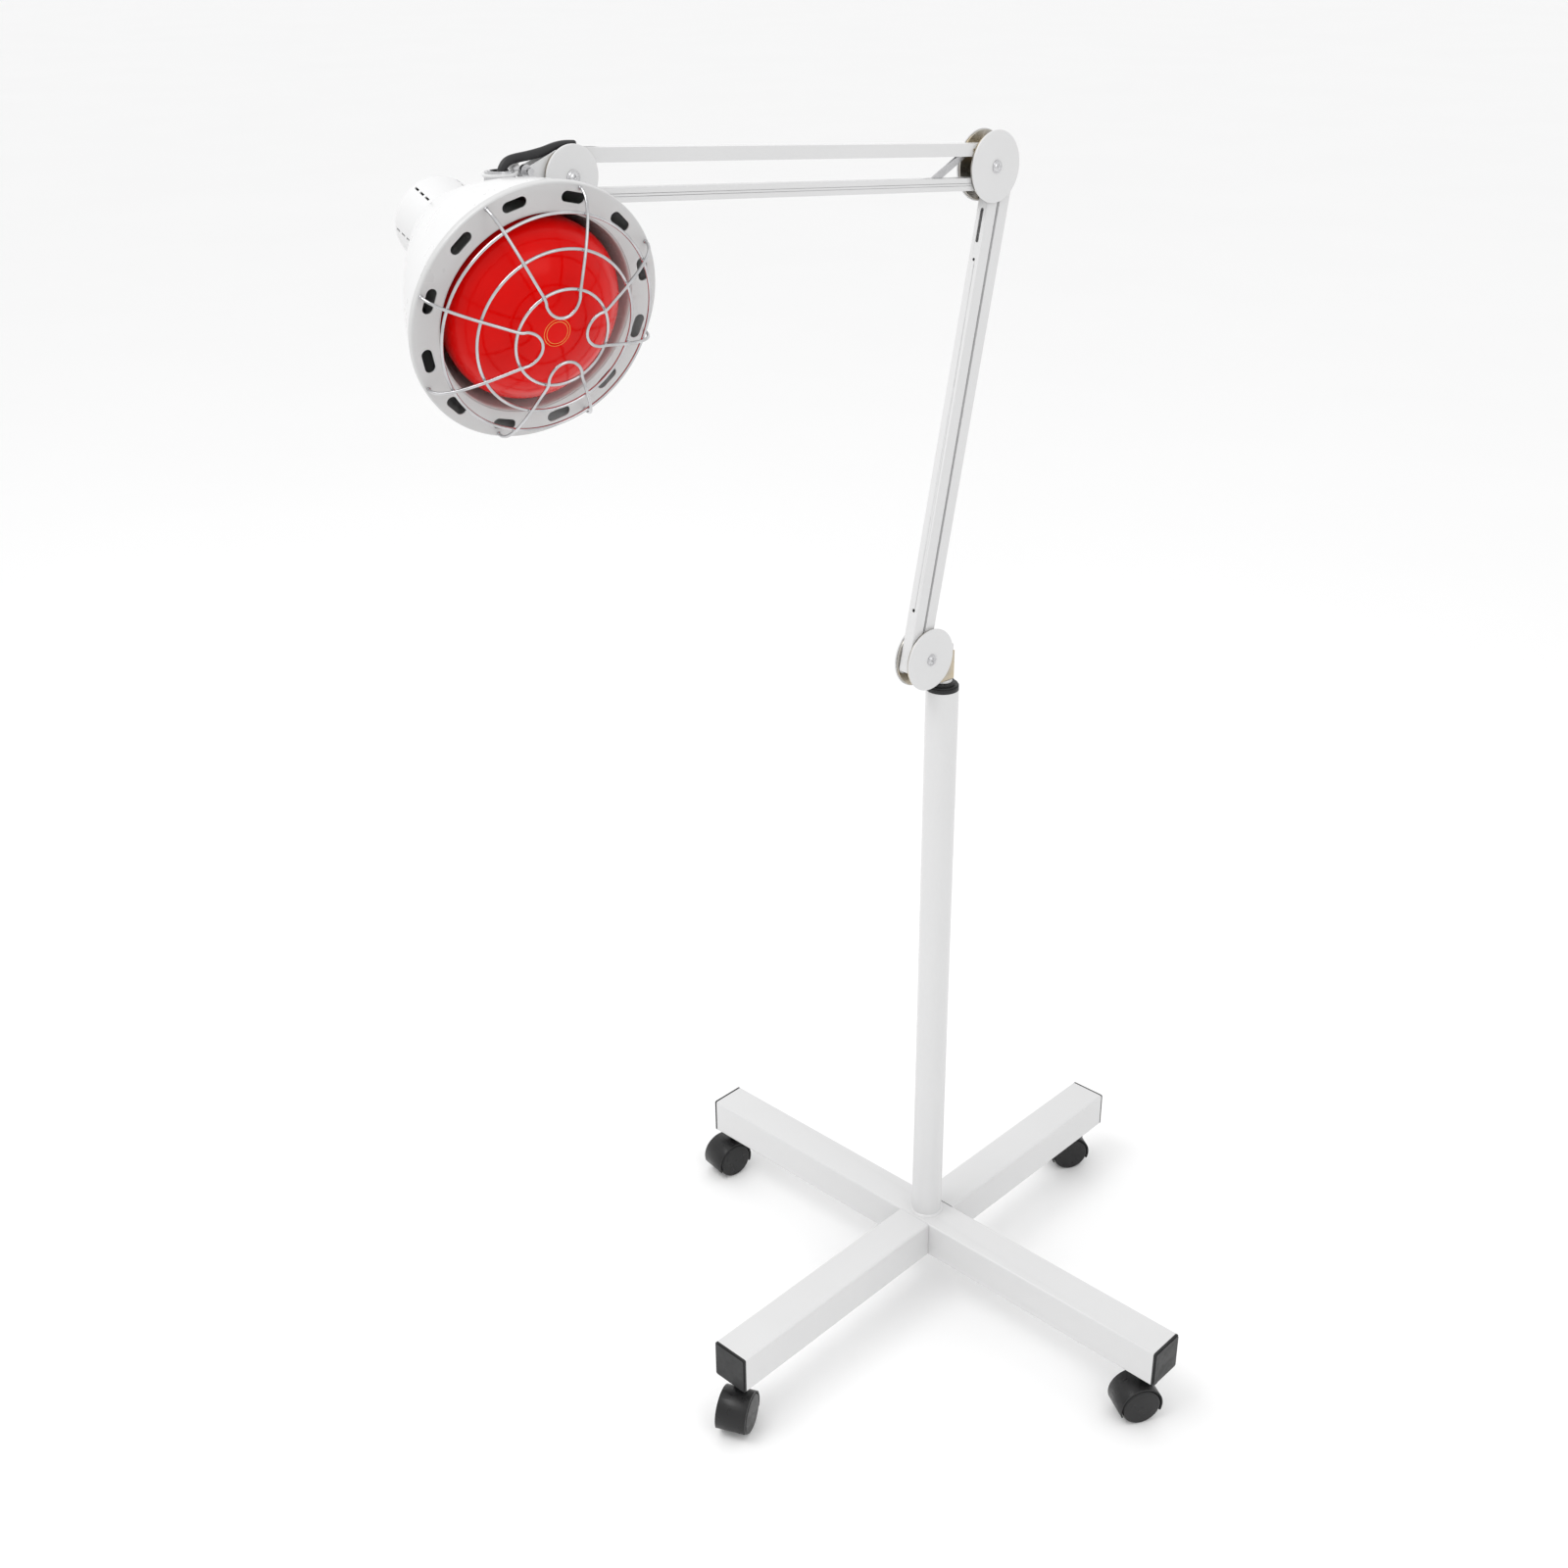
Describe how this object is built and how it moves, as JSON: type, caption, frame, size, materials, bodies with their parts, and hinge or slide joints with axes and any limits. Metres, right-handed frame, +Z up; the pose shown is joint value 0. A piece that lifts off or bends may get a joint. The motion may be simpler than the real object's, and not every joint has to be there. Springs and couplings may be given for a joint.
{
  "type": "heat lamp warmer",
  "caption": "Rolling floor stand with a cross base on castors, a round pole, two parallelogram arms and a caged red reflector heat lamp.",
  "frame": {"origin": "on the floor under the pole axis", "axes": "+Z up along the pole, X along the one-piece base tube, -Y along the half tube under the arm"},
  "size_m": [0.6124, 0.8555, 1.2135],
  "materials": {
    "white_paint": "semi-gloss white powder coat",
    "cap_plastic": "black moulded plastic",
    "castor_plastic": "black moulded nylon, slight gloss",
    "zinc_plate": "yellow zinc plated steel",
    "steel": "bright zinc plated steel",
    "chrome_wire": "polished chrome plated wire",
    "cable": "black flexible lead",
    "wing_plastic": "light grey moulded plastic",
    "reflector_white": "smooth satin white enamel",
    "ceramic": "white glazed porcelain socket",
    "red_glass": "deep red tinted lamp glass, glossy"
  },
  "bodies": {
    "base": {"long_tube": "white_paint", "front_half_tube": "white_paint", "rear_half_tube": "white_paint", "end_caps": "cap_plastic", "base_bolts": "steel", "base_nuts": "steel", "castor_sockets": "cap_plastic", "castor_stems": "steel", "pole": "white_paint", "pole_plug": "steel", "pole_bolt": "steel", "pole_bush": "cap_plastic"},
    "castor_front": {"castor_body_front": "castor_plastic", "castor_axle_front": "steel"},
    "castor_front_wheel_a": {"wheel_front_a": "castor_plastic"},
    "castor_front_wheel_b": {"wheel_front_b": "castor_plastic"},
    "castor_right": {"castor_body_right": "castor_plastic", "castor_axle_right": "steel"},
    "castor_right_wheel_a": {"wheel_right_a": "castor_plastic"},
    "castor_right_wheel_b": {"wheel_right_b": "castor_plastic"},
    "castor_left": {"castor_body_left": "castor_plastic", "castor_axle_left": "steel"},
    "castor_left_wheel_a": {"wheel_left_a": "castor_plastic"},
    "castor_left_wheel_b": {"wheel_left_b": "castor_plastic"},
    "castor_rear": {"castor_body_rear": "castor_plastic", "castor_axle_rear": "steel"},
    "castor_rear_wheel_a": {"wheel_rear_a": "castor_plastic"},
    "castor_rear_wheel_b": {"wheel_rear_b": "castor_plastic"},
    "swivel": {"swivel_post": "white_paint", "elbow1_plates": "zinc_plate", "elbow1_pins": "steel", "elbow1_covers": "white_paint", "elbow1_bolt": "steel"},
    "lower_front": {"lower_front_tube": "white_paint", "arm_spring_lower": "steel"},
    "lower_rear": {"lower_rear_tube": "white_paint"},
    "elbow2": {"elbow2_plates": "zinc_plate", "elbow2_pins": "steel", "elbow2_covers": "white_paint", "elbow2_bolt": "steel"},
    "upper_top": {"upper_top_tube": "white_paint", "pull_strap": "steel"},
    "upper_bottom": {"upper_bottom_tube": "white_paint", "arm_spring_upper": "steel"},
    "elbow3": {"elbow3_plates": "zinc_plate", "elbow3_pins": "steel", "elbow3_covers": "white_paint", "elbow3_bolt": "steel"},
    "bracket": {"head_bracket": "white_paint", "clamp_bolt": "steel", "wing_nut": "wing_plastic", "lamp_lead": "cable"},
    "lamp": {"lamp_spigot": "steel", "shade": "white_paint", "rim_ring": "white_paint", "reflector": "reflector_white", "socket_can": "white_paint", "lamp_socket": "ceramic", "bulb": "red_glass", "guard": "chrome_wire"}
  },
  "joints": [
    {"name": "castor_front_swivel", "type": "hinge", "parent": "base", "child": "castor_front", "pos_m": [0, -0.281, 0.04], "axis": [0, 0, 1], "continuous": true},
    {"name": "castor_front_roll_a", "type": "hinge", "parent": "castor_front", "child": "castor_front_wheel_a", "pos_m": [0.00592, -0.29369, 0.02], "axis": [0.9063, 0.4226, 0], "continuous": true},
    {"name": "castor_front_roll_b", "type": "hinge", "parent": "castor_front", "child": "castor_front_wheel_b", "pos_m": [0.00592, -0.29369, 0.02], "axis": [0.9063, 0.4226, 0], "continuous": true},
    {"name": "castor_right_swivel", "type": "hinge", "parent": "base", "child": "castor_right", "pos_m": [0.287, 0, 0.04], "axis": [0, 0, 1], "continuous": true},
    {"name": "castor_right_roll_a", "type": "hinge", "parent": "castor_right", "child": "castor_right_wheel_a", "pos_m": [0.27979, -0.012, 0.02], "axis": [0.8572, -0.515, 0], "continuous": true},
    {"name": "castor_right_roll_b", "type": "hinge", "parent": "castor_right", "child": "castor_right_wheel_b", "pos_m": [0.27979, -0.012, 0.02], "axis": [0.8572, -0.515, 0], "continuous": true},
    {"name": "castor_left_swivel", "type": "hinge", "parent": "base", "child": "castor_left", "pos_m": [-0.287, 0, 0.04], "axis": [0, 0, 1], "continuous": true},
    {"name": "castor_left_roll_a", "type": "hinge", "parent": "castor_left", "child": "castor_left_wheel_a", "pos_m": [-0.28919, -0.01383, 0.02], "axis": [0.9877, -0.1564, 0], "continuous": true},
    {"name": "castor_left_roll_b", "type": "hinge", "parent": "castor_left", "child": "castor_left_wheel_b", "pos_m": [-0.28919, -0.01383, 0.02], "axis": [0.9877, -0.1564, 0], "continuous": true},
    {"name": "castor_rear_swivel", "type": "hinge", "parent": "base", "child": "castor_rear", "pos_m": [0, 0.281, 0.04], "axis": [0, 0, 1], "continuous": true},
    {"name": "castor_rear_roll_a", "type": "hinge", "parent": "castor_rear", "child": "castor_rear_wheel_a", "pos_m": [-0.00762, 0.26926, 0.02], "axis": [0.8387, -0.5446, 0], "continuous": true},
    {"name": "castor_rear_roll_b", "type": "hinge", "parent": "castor_rear", "child": "castor_rear_wheel_b", "pos_m": [-0.00762, 0.26926, 0.02], "axis": [0.8387, -0.5446, 0], "continuous": true},
    {"name": "arm_swivel", "type": "hinge", "parent": "base", "child": "swivel", "pos_m": [0, 0, 0.7], "axis": [0, 0, 1], "continuous": true},
    {"name": "lower_arm", "type": "hinge", "parent": "swivel", "child": "lower_front", "pos_m": [-0.00314, -0.04659, 0.72851], "axis": [0.9977, -0.0671, 0], "range_deg": [-5, 50]},
    {"name": "lower_rear_link", "type": "hinge", "parent": "swivel", "child": "lower_rear", "pos_m": [-0.00192, -0.02854, 0.74429], "axis": [0.9977, -0.0671, 0], "range_deg": [-5.5, 50.5]},
    {"name": "elbow2_level", "type": "hinge", "parent": "lower_front", "child": "elbow2", "pos_m": [0.0028, 0.04158, 1.14422], "axis": [0.9977, -0.0671, 0], "range_deg": [-50.5, 5.5]},
    {"name": "upper_arm", "type": "hinge", "parent": "elbow2", "child": "upper_top", "pos_m": [0.00191, 0.02845, 1.16871], "axis": [0.9977, -0.0671, 0], "range_deg": [-45, 40]},
    {"name": "upper_bottom_link", "type": "hinge", "parent": "elbow2", "child": "upper_bottom", "pos_m": [0.00191, 0.02845, 1.14171], "axis": [0.9977, -0.0671, 0], "range_deg": [-45.5, 40.5]},
    {"name": "elbow3_level", "type": "hinge", "parent": "upper_top", "child": "elbow3", "pos_m": [-0.02599, -0.38616, 1.20353], "axis": [0.9977, -0.0671, 0], "range_deg": [-40.5, 45.5]},
    {"name": "head_tilt", "type": "hinge", "parent": "elbow3", "child": "bracket", "pos_m": [-0.02652, -0.39414, 1.19003], "axis": [0.9977, -0.0671, 0], "range_deg": [-30, 60], "deforming": ["lamp_lead"]},
    {"name": "lamp_swivel", "type": "hinge", "parent": "bracket", "child": "lamp", "pos_m": [-0.03008, -0.44699, 1.1961], "axis": [0, 0, 1], "range_deg": [-35, 3]}
  ],
  "couplings": [
    {"joint": "lower_rear_link", "follows": "lower_arm", "ratio": 1},
    {"joint": "elbow2_level", "follows": "lower_arm", "ratio": -1},
    {"joint": "upper_bottom_link", "follows": "upper_arm", "ratio": 1},
    {"joint": "elbow3_level", "follows": "upper_arm", "ratio": -1}
  ]
}
